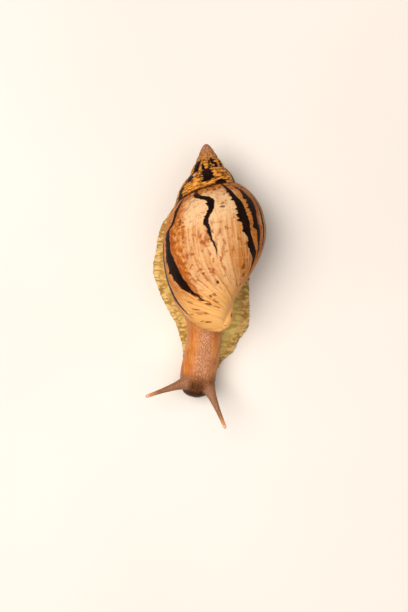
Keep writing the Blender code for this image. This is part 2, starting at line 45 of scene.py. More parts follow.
# Shell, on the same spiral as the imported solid.
APEX = np.array((1.3, 84.4, 30.6)) * MM
SHELL_TURN_IN_PLAN = math.radians(5.5)
SHELL_TILT = math.radians(7.0)
LIP_ANGLE = math.radians(210.0)
LIP_RADIUS = 33.1 * MM
RADIUS_LOSS = 0.281
RADIUS_LOSS_POWER = 3.34
WIDEST_ALONG = 72.0 * MM
WIDEST_GROWTH = 1.6
BASE_ALONG = 118.4 * MM
BASE_DROP = 0.5
BASE_FILL = 3.0 * MM
BASE_FILL_TURN = 0.68
BASE_FILL_SPREAD = 0.1
SUTURE_ALONG = 21.6 * MM
SPIRE_GROWTH = 1.65
SUTURE_CONE = 0.589
LATE_DESCENT = 0.17
LATE_DESCENT_FROM = 0.4
LATE_DESCENT_POWER = 1.6
APEX_ROUNDING = 2.2 * MM
APEX_ROUNDING_FADE = 6.0 * MM
COLUMELLA_RADIUS = 6.3 * MM
COLUMELLA_ALONG = 117.0 * MM
COLUMELLA_ROUNDING = 10.0 * MM
COLUMELLA_SPREAD = 3.5 * MM
COLUMELLA_SPREAD_LENGTH = 18.0 * MM
COLUMELLA_BLEND = 3.0
BASE_RIM = 0.15 * MM
BASE_CENTRE_ALONG = 117.3 * MM
FIRST_TURN = -4.4
SHOULDER_END_ALONG = 66.0 * MM
SHOULDER_POWER = 2.2
SHOULDER_ROOT = 0.8
BASE_POWER = 1.9
BASE_POWER_GAIN = 0.45
BASE_ROOT = 0.45
BASE_ROOT_LOSS = 1.2
STEPS_PER_TURN = 300
SPIRE_ROWS = 16
BODY_ROWS = 100
APEX_RINGS = (0.82, 0.64, 0.46, 0.3, 0.15)
LIP_THICKNESS = 0.9 * MM
LIP_EDGE_THICKNESS = 0.35 * MM
INSIDE_TURN = 0.13
# Turn that the growth map gives to the inside of the shell, which has its own colour.
INSIDE_MARK = 1.2
GROWTH_RELIEF = 0.13 * MM
GROWTH_SWEEP = 0.74
GROWTH_SWEEP_POWER = 3.1

# Mantle collar, in the aperture.
MANTLE_LIP_GAP = 1.1 * MM
APERTURE_TOP_MARGIN = 8.0 * MM
APERTURE_BASE_MARGIN = 3.5 * MM
APERTURE_BASE_ROUNDING = 14.0 * MM
WALL_TURN = 0.07
MANTLE_STEPS = 90
# Each ring of the collar has its inset from the aperture's outline and its height over the lip, in mm.
MANTLE_RINGS = [(2.6, -7.0), (1.5, -3.6), (0.7, -1.2), (0.7, -0.2), (1.1, 0.8), (2.0, 1.5), (3.2, 1.8),
                (4.4, 1.5), (5.4, 0.6), (6.4, -0.8), (7.6, -2.4)]

# Foot stations: place, right margin, left margin, top, in mm.
FOOT_STATIONS = np.array([
    (77, -0.6, 2.2, 1.8), (74.5, -3.2, 4.8, 4), (70, -6, 7.6, 6.4), (60, -12.5, 13, 8.8),
    (48, -20, 19, 7.2), (36, -27, 24.5, 7), (22, -31.3, 28.5, 7), (6, -33.2, 30, 7),
    (-8, -28.5, 29.5, 7), (-20, -23, 29.8, 7), (-29, -18, 29.6, 7), (-39, -15, 23.3, 7),
    (-47, -14, 19, 7), (-53, -13.6, 11.6, 7), (-60, -13, 8.5, 7), (-66, -10.5, 5.4, 6.2),
    (-69, -4.5, -1, 4),
])
FOOT_RINGS = 240
FOOT_ACROSS = 44
MARGIN_THICKNESS = 2.0

# Body stations: place, middle, half width, top, bottom, in mm.
BODY_STATIONS = np.array([
    (37, -4, 3, 8.2, 3), (31, -5, 9.5, 13, 3), (22, -6.2, 14, 22, 3),
    (10, -6.4, 16.2, 33, 3), (-4, -5.4, 16.6, 41, 3), (-16, -3.6, 14.6, 40, 3),
    (-25, -0.6, 11.6, 36, 3), (-33, 0.4, 10.8, 31.5, 3), (-45, -0.8, 11.4, 29, 3),
    (-57, -3.2, 11.5, 27.4, 4), (-64, -4, 11.3, 25.6, 5), (-70, -4.3, 10, 22.6, 7.5),
    (-74, -4.5, 6.8, 19, 9.8), (-76, -4.5, 1.2, 15, 13),
])
BODY_RINGS = 150
BODY_SIDES = 96

# Tentacles: root, tip, radii and sag, in mm.
UPPER_RADII = [5.2, 4.4, 3.5, 2.85, 2.4, 2.05, 1.78, 1.56, 1.4, 1.26, 1.18]
LOWER_RADII = [2.6, 2.1, 1.7, 1.45, 1.3, 1.2]
TENTACLES = [
    ((-9.4, -65.0, 21.6), (-34.4, -73.0, 32.0), UPPER_RADII, 1.2),
    ((2.0, -66.8, 21.6), (12.6, -91.6, 32.0), UPPER_RADII, 1.2),
    ((-7.4, -69.4, 11.0), (-11.2, -73.8, 5.0), LOWER_RADII, 0.3),
    ((-1.2, -70.2, 11.0), (2.4, -74.6, 5.0), LOWER_RADII, 0.3),
]
# Ridges on the head that lead to the tentacles: back end, front end, radii and sag, in mm.
BROWS = [
    ((-5.6, -53.0, 21.2), (-9.4, -65.0, 21.6), [4.6, 5.2, 5.1, 4.8], -0.5),
    ((-0.6, -54.0, 21.2), (2.0, -66.8, 21.6), [4.6, 5.2, 5.1, 4.8], -0.5),
]
# Two lips and the upper face, as balls: centre and half sizes, in mm.
LIPS_AND_FACE = [((-6.7, -72.0, 9.6), (2.9, 3.6, 3.6)), ((-2.1, -72.0, 9.6), (2.9, 3.6, 3.6)),
                 ((-4.4, -71.6, 16.6), (6.4, 3.9, 5.4))]
EYE_RADIUS = 1.35
MOUTH_MIDDLE = -4.4
SKIN_VOXEL = 0.34 * MM
CAMERA_PLACE = (0, -17.03 * MM, 0.7)


def curve(stations, column, place):
    """Read one column of a list of stations as a smooth curve, at many places."""
    xs, ys = stations[::-1, 0], stations[::-1, column]
    steps = np.diff(ys) / np.diff(xs)
    product = steps[:-1] * steps[1:]
    total = steps[:-1] + steps[1:]
    inner = np.where(product > 0, 2 * product / np.where(product > 0, total, 1), 0)
    slopes = np.concatenate([steps[:1], inner, steps[-1:]])
    x = np.clip(place, xs[0], xs[-1])
    i = np.clip(np.searchsorted(xs, x, side="right") - 1, 0, len(xs) - 2)
    span = xs[i + 1] - xs[i]
    t = (x - xs[i]) / span
    start = (1 + 2 * t) * (1 - t) ** 2 * ys[i] + t * (1 - t) ** 2 * span * slopes[i]
    return start + t * t * (3 - 2 * t) * ys[i + 1] + t * t * (t - 1) * span * slopes[i + 1]


def ease(low, high, value):
    """Rise smoothly from 0 at low to 1 at high."""
    t = np.clip((value - low) / (high - low), 0, 1)
    return t * t * (3 - 2 * t)


def lottery(cell, seed):
    """A repeatable number from 0 to 1 for each whole-numbered cell."""
    c = (cell.astype(np.int64) & 0xFFFFFFFF).astype(np.uint32)
    n = c[..., 0] * np.uint32(374761393) + c[..., 1] * np.uint32(668265263)
    n = n + c[..., 2] * np.uint32(2246822519) + np.uint32((seed * 3266489917 + 1013904223) & 0xFFFFFFFF)
    n = (n ^ (n >> np.uint32(15))) * np.uint32(2246822519)
    n = (n ^ (n >> np.uint32(13))) * np.uint32(3266489917)
    n = n ^ (n >> np.uint32(16))
    return n.astype(float) / 4294967295.0


def drift(points, seed):
    """Smooth noise from -1 to 1."""
    base = np.floor(points)
    part = points - base
    part = part * part * (3 - 2 * part)
    total = np.zeros(len(points))
    for corner in itertools.product((0, 1), repeat=3):
        weight = np.ones(len(points))
        for axis in range(3):
            weight *= part[:, axis] if corner[axis] else 1 - part[:, axis]
        total += weight * lottery(base + corner, seed)
    return total * 2 - 1


def pebbles(points, seed):
    """How far each point stands from the grooves between packed beads: 0 in a groove."""
    base = np.floor(points)
    first = np.full(len(points), 9.0)
    second = np.full(len(points), 9.0)
    for offset in itertools.product((-1, 0, 1), repeat=3):
        cell = base + offset
        distance = np.zeros(len(points))
        for axis in range(3):
            centre = cell[:, axis] + 0.12 + 0.76 * lottery(cell, seed + 7 * axis)
            distance += (centre - points[:, axis]) ** 2
        second = np.minimum(second, np.maximum(first, distance))
        first = np.minimum(first, distance)
    return np.sqrt(second) - np.sqrt(first)


# Shell

AXIS = np.array((
    math.sin(SHELL_TURN_IN_PLAN) * math.cos(SHELL_TILT),
    -math.cos(SHELL_TURN_IN_PLAN) * math.cos(SHELL_TILT),
    math.sin(SHELL_TILT),
))
SIDE = np.array((math.cos(SHELL_TURN_IN_PLAN), math.sin(SHELL_TURN_IN_PLAN), 0.0))
CROWN = np.cross(AXIS, SIDE)
LIP_OUT = SIDE * math.cos(LIP_ANGLE) + CROWN * math.sin(LIP_ANGLE)
LIP_FACING = CROWN * math.cos(LIP_ANGLE) - SIDE * math.sin(LIP_ANGLE)


def shell_point(turn, along, radius):
    """Places on the shell from the turn number, the way along the axis and the radius."""
    angle = np.asarray(LIP_ANGLE + 2 * math.pi * (turn - 1))[..., None]
    out = SIDE * np.cos(angle) + CROWN * np.sin(angle)
    return APEX + AXIS * np.asarray(along)[..., None] + out * np.asarray(radius)[..., None]


def suture_along(turn):
    """Way along the axis of the suture that starts a whorl."""
    late = np.maximum(0.0, (turn - LATE_DESCENT_FROM) / (1 - LATE_DESCENT_FROM))
    return SUTURE_ALONG * SPIRE_GROWTH ** turn * np.exp(LATE_DESCENT * late ** LATE_DESCENT_POWER)


def suture_radius(along):
    """Radius of the suture on the spire's cone, rounded off at the apex."""
    rounding = 2 * APEX_ROUNDING * along * np.exp(-along / APEX_ROUNDING_FADE)
    return np.sqrt((SUTURE_CONE * along) ** 2 + rounding)


def widest_along(turn):
    """Way along the axis of a whorl's widest place."""
    spire = WIDEST_ALONG / WIDEST_GROWTH * SPIRE_GROWTH ** turn
    return np.where(turn < 0, spire, WIDEST_ALONG * WIDEST_GROWTH ** (turn - 1.0))


def shoulder(part):
    """Rise of a whorl's side from its suture (0) to its widest place (1)."""
    part = np.clip(part, 0.0, 1.0)
    return (1 - (1 - part) ** SHOULDER_POWER) ** SHOULDER_ROOT


def body_profile(turn, along):
    """Radius of the last whorl at a way along the axis."""
    start = suture_along(turn)
    widest = widest_along(turn)
    low = suture_radius(start)
    high = LIP_RADIUS * np.exp(-RADIUS_LOSS * np.maximum(1 - turn, 0) ** RADIUS_LOSS_POWER)
    upper = low + (high - low) * shoulder((along - start) / (widest - start))
    base = base_along(turn)
    fall = np.clip((along - widest) / (base - widest), 0.0, 1.0)
    egg = high * np.maximum(0.0, 1 - fall ** (BASE_POWER + BASE_POWER_GAIN * turn)) ** (
        BASE_ROOT + np.tanh(BASE_ROOT_LOSS * (1 - turn)))
    to_end = (COLUMELLA_ALONG - along) / COLUMELLA_ROUNDING
    past = np.maximum(0.0, to_end - 1) * COLUMELLA_ROUNDING / COLUMELLA_SPREAD_LENGTH
    spread = COLUMELLA_SPREAD * np.tanh(past)
    pillar = (COLUMELLA_RADIUS + spread) * np.sqrt(np.maximum(0.0, 1 - np.maximum(0.0, 1 - to_end) ** 2))
    lower = (egg ** COLUMELLA_BLEND + pillar ** COLUMELLA_BLEND) ** (1 / COLUMELLA_BLEND)
    return np.where(along <= widest, upper, lower)


def base_along(turn):
    """Way along the axis where the whorl's side would reach the axis."""
    fill = BASE_FILL * np.exp(-((turn - BASE_FILL_TURN) / BASE_FILL_SPREAD) ** 2)
    return BASE_ALONG * np.exp(-BASE_DROP * (1 - turn) ** 2) + fill


def body_column(turn):
    """Ways along the axis and radii of one column of the last whorl, from its suture to the base."""
    start = suture_along(turn)
    first_middle = suture_along(1.0)
    middle = first_middle * (SHOULDER_END_ALONG / first_middle) ** turn
    end = max(base_along(turn), COLUMELLA_ALONG) - BASE_RIM
    upper = np.linspace(start, middle, SPIRE_ROWS + 1)
    lower = middle + (end - middle) * np.sin(math.pi / 2 * np.arange(1, BODY_ROWS + 1) / BODY_ROWS)
    along = np.concatenate([upper, lower])
    return along, body_profile(turn, along)


def spire_column(turn):
    """Ways along the axis and radii of one column of a spire whorl, from its suture to the next."""
    start, end = suture_along(turn), suture_along(turn + 1)
    low, high = suture_radius(start), suture_radius(end)
    share = (end - start) / (max(widest_along(turn), end) - start)
    part = np.linspace(0, 1, SPIRE_ROWS + 1)
    return start + (end - start) * part, low + (high - low) * shoulder(share * part) / shoulder(share)


def growth_relief(turn, band):
    """Low, uneven ridges where the shell's edge once stood still."""
    growth = turn + GROWTH_SWEEP * np.maximum(band - 1, 0) ** GROWTH_SWEEP_POWER
    lines = np.stack([growth * 46, band * 1.3, growth * 0], -1)
    finer = np.stack([growth * 115, band * 2.1, growth * 0], -1)
    return drift(lines, 11) * 0.65 + drift(finer, 12) * 0.35 * ease(1.7, 1.4, band)


def placed(name, data):
    """A new object in the scene."""
    made = bpy.data.objects.new(name, data)
    bpy.context.scene.collection.objects.link(made)
    return made


def placed_mesh(name, points, faces):
    """A new object in the scene, from points and faces."""
    mesh = bpy.data.meshes.new(name)
    mesh.from_pydata(points, [], faces)
    return placed(name, mesh)


class Sheet:
    """A mesh under way: its points, its faces, and a map of turn and band for each corner."""

    def __init__(self):
        self.points, self.faces, self.maps = [], [], []

    def add(self, points):
        first = sum(len(p) for p in self.points)
        self.points.append(np.atleast_2d(points))
        return first + np.arange(len(self.points[-1]))

    def face(self, corners, at):
        self.faces.append([int(c) for c in corners])
        self.maps.append(at)

    def strip(self, here, there, at_here, at_there):
        """Quads between two columns of points, with the map of every corner."""
        for k in range(min(len(here), len(there)) - 1):
            self.face((here[k], there[k], there[k + 1], here[k + 1]),
                      (at_here[k], at_there[k], at_there[k + 1], at_here[k + 1]))

    def to_object(self, name):
        made = placed_mesh(name, np.concatenate(self.points), self.faces)
        layer = made.data.uv_layers.new(name="growth")
        layer.uv.foreach_set("vector", np.array([c for at in self.maps for c in at], np.float32).ravel())
        made.data.shade_smooth()
        return made


def make_shell():
    """The thin-lipped shell, as one closed surface that turns in at the lip and back to the wall."""
    sheet = Sheet()
    before = round(-FIRST_TURN * STEPS_PER_TURN)
    total = before + STEPS_PER_TURN
    bands = np.concatenate([np.linspace(0, 1, SPIRE_ROWS + 1), 1 + np.arange(1, BODY_ROWS + 1) / BODY_ROWS])
    columns, places, maps = [], [], []
    for step in range(total + 1):
        turn = FIRST_TURN + step / STEPS_PER_TURN
        along, radius = spire_column(turn) if step < before else body_column(turn)
        band = bands[:len(along)]
        fade = np.minimum(1, radius / (20 * MM)) * np.minimum(1, band * 4) * np.minimum(1, (2 - band) * 4)
        lift = growth_relief(np.full(len(band), turn), band) * GROWTH_RELIEF * fade
        if step < before:
            lift = lift * np.minimum(1, (1 - band) * 4)
        place = shell_point(turn, along, radius + lift)
        maps.append([(turn, b) for b in band])
        places.append(place)
        if step < STEPS_PER_TURN:
            columns.append(sheet.add(place))
        else:
            shared = columns[step - STEPS_PER_TURN][SPIRE_ROWS]
            columns.append(np.concatenate([[shared], sheet.add(place[1:])]))
    for step in range(total):
        sheet.strip(columns[step], columns[step + 1], maps[step], maps[step + 1])
    close_apex(sheet, columns)

    centre = sheet.add(shell_point(1.0, BASE_CENTRE_ALONG, 0.0))[0]
    for step in range(before, total):
        at = (maps[step][-1], maps[step + 1][-1], (maps[step][-1][0], 2.05))
        sheet.face((columns[step][-1], columns[step + 1][-1], centre), at)

    inside_steps = round(INSIDE_TURN * STEPS_PER_TURN)
    grid = np.array([places[total - k][1:] for k in range(inside_steps + 2)])
    normal = np.cross(np.gradient(grid, axis=0), np.gradient(grid, axis=1))
    normal /= np.linalg.norm(normal, axis=2, keepdims=True)
    outward = (normal * (grid - grid.mean(axis=(0, 1)))).sum()
    normal *= 1 if outward > 0 else -1
    thickness = np.full(inside_steps + 2, LIP_THICKNESS)
    thickness[0] = LIP_EDGE_THICKNESS
    inner_columns = [sheet.add(grid[k] - normal[k] * thickness[k]) for k in range(inside_steps + 1)]
    inside_map = [(INSIDE_MARK, b) for b in bands[1:]]
    sheet.strip(columns[total][1:], inner_columns[0], maps[total][1:], inside_map)
    for here, there in zip(inner_columns, inner_columns[1:]):
        sheet.strip(here, there, inside_map, inside_map)

    wall_columns = [columns[before][SPIRE_ROWS:]]
    for k in range(1, inside_steps + 1):
        turn = -k / STEPS_PER_TURN
        along = np.linspace(suture_along(turn + 1.0), COLUMELLA_ALONG - BASE_RIM, BODY_ROWS + 1)
        wall_columns.append(sheet.add(shell_point(turn, along, body_profile(turn, along))))
    wall_map = [(INSIDE_MARK, 1 + r / BODY_ROWS) for r in range(BODY_ROWS + 1)]
    for here, there in zip(wall_columns, wall_columns[1:]):
        sheet.strip(there, here, wall_map, wall_map)
    return sheet.to_object("shell_with_growth_lines")


def close_apex(sheet, columns):
    """Close the start of the spiral with a low dome of rings."""
    turns = FIRST_TURN + np.arange(STEPS_PER_TURN) / STEPS_PER_TURN
    along = suture_along(turns)
    radius = suture_radius(along)
    rim = np.array([columns[step][0] for step in range(STEPS_PER_TURN)])
    outer = rim
    at = (FIRST_TURN, 0.5)
    for share in APEX_RINGS:
        ring = sheet.add(shell_point(turns, along * share ** 2, radius * share))
        for step in range(STEPS_PER_TURN):
            after = (step + 1) % STEPS_PER_TURN
            corners = [ring[after], ring[step], outer[step]]
            if outer is rim and after == 0:
                corners += [columns[STEPS_PER_TURN][0]] + list(columns[0][SPIRE_ROWS - 1::-1])
            else:
                corners.append(outer[after])
            sheet.face(corners[::-1], [at] * len(corners))
        outer = ring
    tip = sheet.add(shell_point(FIRST_TURN, 0.0, 0.0))[0]
    for step in range(STEPS_PER_TURN):
        after = (step + 1) % STEPS_PER_TURN
        sheet.face((outer[step], outer[after], tip), [at] * 3)


def aperture_outline(inset):
    """The aperture's outline at an inset, in order round it, as ways along the axis and radii."""
    top = suture_along(1.0) + APERTURE_TOP_MARGIN + inset
    base = BASE_ALONG - APERTURE_BASE_MARGIN - inset
    part = np.linspace(0, 1, MANTLE_STEPS + 1)
    along = top + (base - top) * (0.5 - 0.5 * np.cos(math.pi * part))
    lip = body_profile(1.0, along) - MANTLE_LIP_GAP - inset
    wall = np.maximum(body_profile(WALL_TURN, along), COLUMELLA_RADIUS) + inset
    near_base = np.maximum(0.0, 1 - (base - along) / APERTURE_BASE_ROUNDING)
    near_top = np.maximum(0.0, 1 - (along - top) / APERTURE_BASE_ROUNDING)
    narrowing = np.sqrt(np.maximum(0, 1 - near_base ** 2)) * np.sqrt(np.maximum(0, 1 - near_top ** 2))
    width = np.maximum((lip - wall) * narrowing, 0.3 * MM)
    middle = (lip + wall) / 2
    outer, inner = middle + width / 2, middle - width / 2
    return np.concatenate([along, along[::-1]]), np.concatenate([outer, inner[::-1]])


def make_mantle():
    """The fleshy collar that fills the aperture, with a rounded rim and fine wrinkles across it."""
    sheet = Sheet()
    rings = []
    for inset, height in MANTLE_RINGS:
        along, radius = aperture_outline(inset * MM)
        count = len(along)
        way = np.arange(count) / count
        lines = np.stack([way * 150, np.full(count, inset * 0.25), np.zeros(count)], -1)
        wrinkle = drift(lines, 31) * 0.28 * MM * ease(-2, 0.5, height)
        place = APEX + AXIS * along[:, None] + LIP_OUT * radius[:, None] + LIP_FACING * (
            height * MM + wrinkle)[:, None]
        rings.append(sheet.add(place))
    count = len(rings[0])
    for here, there in zip(rings, rings[1:]):
        for i in range(count):
            j = (i + 1) % count
            sheet.face((here[i], here[j], there[j], there[i]), [(0.0, 0.0)] * 4)
    half = count // 2
    for ring, turned in ((rings[-1], False), (rings[0], True)):
        for i in range(half - 1):
            corners = (ring[i], ring[i + 1], ring[count - 2 - i], ring[count - 1 - i])
            sheet.face(corners[::-1] if turned else corners, [(0.0, 0.0)] * 4)
    return sheet.to_object("mantle_collar_flesh")


# Skin

def ring_loft(rings):
    """Join closed rings of equal length and close both ends."""
    size = len(rings[0])
    points = np.concatenate(rings)
    faces = []
    for r in range(len(rings) - 1):
        for i in range(size):
            j = (i + 1) % size
            faces.append((r * size + i, r * size + j, (r + 1) * size + j, (r + 1) * size + i))
    faces.append(tuple(range(size))[::-1])
    last = (len(rings) - 1) * size
    faces.append(tuple(range(last, last + size)))
    return points, faces


def foot_form():
    """The foot with its frilled margin, in mm."""
    rings = []
    part = np.linspace(1, 0, FOOT_ACROSS + 1)
    for y in np.linspace(FOOT_STATIONS[0, 0], FOOT_STATIONS[-1, 0], FOOT_RINGS):
        right, left, top = (curve(FOOT_STATIONS, column, y) for column in (1, 2, 3))
        middle, half = (left + right) / 2, (left - right) / 2
        fullness = min(1.0, half / 14)
        edge = min(MARGIN_THICKNESS, 0.6 * top)
        section = []
        for side, reach in ((1, left), (-1, right)):
            lobe = drift(np.array([[y / 9.0 + 40 * side, 0.5, 0.5]]), 5)[0]
            ruffle = drift(np.array([[y / 2.6 + 90 * side, 0.5, 0.5]]), 6)[0]
            wave = math.sin(2 * math.pi * y / 3.4 + 2.5 * lobe + side)
            reach = reach + side * fullness * (1.3 * lobe + 0.2 * wave + 0.35 * ruffle)
            x = middle + (reach - middle) * part
            climb = ease(0, 0.55, 1 - part) * 0.75 + 0.25 * ease(0, 0.25, 1 - part)
            z = edge + (top - edge) * climb
            skirt = np.sin(math.pi * np.clip((1 - part) / 0.5, 0, 1))
            z = z + fullness * skirt * (0.6 * wave + 0.3 * ruffle)
            z[0] = 0.5 * edge
            x[1] = middle + (reach - middle) * 0.99
            section.append(np.stack([x, np.full_like(x, y), z], -1))
        left_row, right_row = section
        sole = np.array([(right_row[0][0], y, 0.0), (left_row[0][0], y, 0.0)])
        rings.append(np.concatenate([left_row, right_row[-2::-1], sole]))
    return ring_loft(rings)


def body_form():
    """Back, neck and head as one trunk that flares into the foot, in mm."""
    rings = []
    angle = 2 * math.pi * np.arange(BODY_SIDES) / BODY_SIDES
    across = np.sign(np.cos(angle)) * np.abs(np.cos(angle)) ** 0.85
    upward = np.sign(np.sin(angle)) * np.abs(np.sin(angle)) ** 0.9
    back, front = BODY_STATIONS[0, 0], BODY_STATIONS[-1, 0]
    for step in range(BODY_RINGS + 1):
        y = back + (front - back) * math.sin(math.pi / 2 * step / BODY_RINGS) ** 0.85
        middle, half, top, bottom = (curve(BODY_STATIONS, column, y) for column in (1, 2, 3, 4))
        z = (top + bottom) / 2 + (top - bottom) / 2 * upward
        flare = 5.0 * np.exp(-np.maximum(z - 5.5, 0) / 2.6) * ease(-70, -55, -abs(y + 5))
        x = middle + half * across + np.sign(across) * flare * np.abs(across) ** 0.5
        rings.append(np.stack([x, np.full(BODY_SIDES, y), z], -1))
    return ring_loft(rings)


def horn_line(root, tip, sag, part):
    """Places on a tentacle's line."""
    root, tip = np.array(root), np.array(tip)
    place = root + (tip - root) * np.asarray(part)[..., None]
    place[..., 2] -= sag * np.sin(math.pi * np.asarray(part))
    return place


def horn_form(root, tip, radii, sag):
    """A tapering tentacle, in mm."""
    part = np.linspace(0, 1, 60)
    line = horn_line(root, tip, sag, part)
    radius = np.interp(part, np.linspace(0, 1, len(radii)), radii)
    way = np.array(tip) - np.array(root)
    forward = way / np.linalg.norm(way)
    side = np.cross(forward, (0, 0, 1.0))
    side /= np.linalg.norm(side)
    over = np.cross(side, forward)
    angle = (2 * math.pi * np.arange(24) / 24)[:, None]
    ring = side * np.cos(angle) + over * np.sin(angle)
    return ring_loft([line[k] + ring * radius[k] for k in range(len(part))])


def ball_form(centre, size):
    """An egg-shaped form, in mm."""
    rings = []
    angle = (2 * math.pi * np.arange(32) / 32)[:, None]
    for height in np.cos(np.linspace(0.12, math.pi - 0.12, 20)):
        level = math.sqrt(1 - height * height)
        ring = np.concatenate([level * np.cos(angle), level * np.sin(angle), np.full_like(angle, height)], 1)
        rings.append(np.array(centre) + ring * np.array(size))
    return ring_loft(rings)


def raw_object(name, forms):
    """One object of several closed forms, given in mm."""
    points, faces, first = [], [], 0
    for form_points, form_faces in forms:
        points.append(form_points)
        faces += [[c + first for c in f] for f in form_faces]
        first += len(form_points)
    return placed_mesh(name, np.concatenate(points) * MM, faces)


def outward(form):
    """Turn a form's faces to point out."""
    points, faces = form
    tri = np.array([(f[0], f[1], f[2]) for f in faces if len(f) == 4])
    a, b, c = points[tri[:, 0]], points[tri[:, 1]], points[tri[:, 2]]
    volume = (np.cross(a, b) * c).sum()
    return (points, faces) if volume > 0 else (points, [f[::-1] for f in faces])


def applied(obj):
    """Keep the result of an object's modifiers as its own mesh."""
    bpy.context.view_layer.update()
    depsgraph = bpy.context.evaluated_depsgraph_get()
    mesh = bpy.data.meshes.new_from_object(obj.evaluated_get(depsgraph))
    obj.modifiers.clear()
    obj.data = mesh
    return obj


def smoothed(points, edges, rounds, weight):
    """Even out a surface by moving each point towards its neighbours."""
    count = np.zeros(len(points))
    np.add.at(count, edges[:, 0], 1)
    np.add.at(count, edges[:, 1], 1)
    for _ in range(rounds):
        total = np.zeros_like(points)
        for axis in range(3):
            total[:, axis] += np.bincount(edges[:, 0], points[edges[:, 1], axis], len(points))
            total[:, axis] += np.bincount(edges[:, 1], points[edges[:, 0], axis], len(points))
        points = points + weight[:, None] * (total / count[:, None] - points)
    return points


def horn_share(points):
    """How far out along an upper tentacle each point is (0 off them), and how close to its line."""
    share = np.zeros(len(points))
    for root, tip, radii, sag in TENTACLES[:2]:
        root, tip = np.array(root), np.array(tip)
        way = tip - root
        part = np.clip(((points - root) @ way) / (way @ way), 0, 1)
        line = horn_line(root, tip, sag, part)
        gap = np.linalg.norm(points - line, axis=1)
        radius = np.interp(part, np.linspace(0, 1, len(radii)), radii)
        near = gap < radius + 0.9
        share = np.where(near & (part > 0.02), np.maximum(share, part), share)
    return share


def mesh_rows(items, name, width, kind=np.float32):
    """One property of every point or edge of a mesh, a row each."""
    values = np.empty(len(items) * width, kind)
    items.foreach_get(name, values)
    return values.reshape(-1, width)


def move_points(mesh, points):
    """Put a mesh's points in new places, given in mm."""
    mesh.vertices.foreach_set("co", (points * MM).astype(np.float32).ravel())
    mesh.update()


def paint(mesh, name, value):
    """Store a mask on a mesh's points."""
    mask = mesh.attributes.new(name, "FLOAT", "POINT")
    mask.data.foreach_set("value", value.astype(np.float32))


def make_skin():
    """The whole soft body as one surface: forms joined, evened out, then beaded and folded."""
    forms = [foot_form(), body_form()] + [ball_form(*ball) for ball in LIPS_AND_FACE]
    forms += [horn_form(*ridge) for ridge in TENTACLES + BROWS]
    skin = raw_object("snail_skin", [outward(form) for form in forms])
    remesh = skin.modifiers.new("fuse", "REMESH")
    remesh.mode = "VOXEL"
    remesh.voxel_size = SKIN_VOXEL
    applied(skin)
    mesh = skin.data
    points = mesh_rows(mesh.vertices, "co", 3).astype(float) / MM
    edges = mesh_rows(mesh.edges, "vertices", 2, np.int32)

    share = horn_share(points)
    off_horn = 1 - ease(0.1, 0.25, share)
    sole = ease(0.9, 0.3, points[:, 2])
    points = smoothed(points, edges, 22, (0.12 + 0.5 * off_horn) * (1 - sole))
    move_points(mesh, points)
    normals = mesh_rows(mesh.vertices, "normal", 3).astype(float)

    x, y, z = points.T
    right, left = curve(FOOT_STATIONS, 1, y), curve(FOOT_STATIONS, 2, y)
    to_edge = (left - right) / 2 - np.abs(x - (left + right) / 2)
    cloud = drift(points / 3.2, 24)
    margin = ease(8.5, 3.0, to_edge + 0.8 * cloud) * ease(10.0, 7.0, z)
    low_side = ease(17, 8, z + 1.5 * cloud) * (1 - margin)
    band_middle = np.interp(-y, (33, 60, 66), (1.0, -0.6, -2.6))
    band_half = np.interp(-y, (33, 60, 66), (4.4, 6.6, 9.0))
    across = np.abs(x - band_middle + 0.5 * cloud) / band_half
    band = ease(1.45, 0.35, across) * ease(16, 22, z) * ease(-18, -30, y)
    head = ease(-56, -67, y + 1.2 * cloud) * ease(10, 17, z)
    # The face mask darkens the head front, the mouth and the valley between the tentacle roots: partly the
    # head's own dark brown, partly painted shade where the front and the valley lie in shadow.
    between = ease(8.5, 3.0, np.abs(x + 3.7)) * ease(-61.0, -69.5, y)
    front = ease(-67.5, -72.5, y) * ease(26, 21, z) * (0.45 + 0.55 * ease(10, 17, z))
    face = np.maximum(between * ease(28, 24, z) * 0.6, front)
    mouth = np.exp(-((x - MOUTH_MIDDLE) / 0.6) ** 2) * ease(-71, -73, y)
    mouth = mouth * ease(5, 7, z) * ease(13.4, 11.6, z)
    face = np.maximum(face * ease(4.5, 7, z), mouth) * (1 - ease(0.06, 0.18, share))

    warp = np.stack([drift(points / 7.0, s) for s in (21, 22, 23)], -1) * 1.1
    spread = points + warp
    fine = pebbles(spread / (1.05, 1.75, 1.05), 41)
    coarse = pebbles(spread / (2.6, 3.6, 2.4), 42)
    folds = pebbles(spread / (5.5, 1.9, 4.0), 43)
    fine_bead = ease(0.02, 0.45, fine)
    coarse_bead = ease(0.02, 0.55, coarse)
    fold = ease(0.0, 0.6, folds)
    off_sole = ease(0.25, 1.2, z)
    horn = ease(0.02, 0.1, share)
    upper = (1 - margin) * (1 - low_side)
    raised = np.clip(band * 0.8 + head * 0.8, 0, 1) * (1 - 0.75 * face)
    lift = upper * (1 - horn) * (fine_bead - 0.6) * (0.11 * raised + 0.03)
    lift += low_side * (coarse_bead - 0.6) * 0.1
    lift += margin * (fold - 0.6) * 0.16
    lift += horn * (fine_bead - 0.6) * 0.09
    lift += face * (coarse_bead - 0.6) * 0.12 - mouth * 0.7
    points = points + normals * (lift * off_sole)[:, None]
    points[:, 2] = np.maximum(points[:, 2], 0.0)
    move_points(mesh, points)

    bead = upper * fine_bead + low_side * coarse_bead + margin * fold
    for name, value in (("bead", bead), ("band", band), ("margin", margin), ("low_side", low_side),
                        ("head", head), ("face", face), ("horn", share)):
        paint(mesh, name, value)
    mesh.shade_smooth()
    return skin


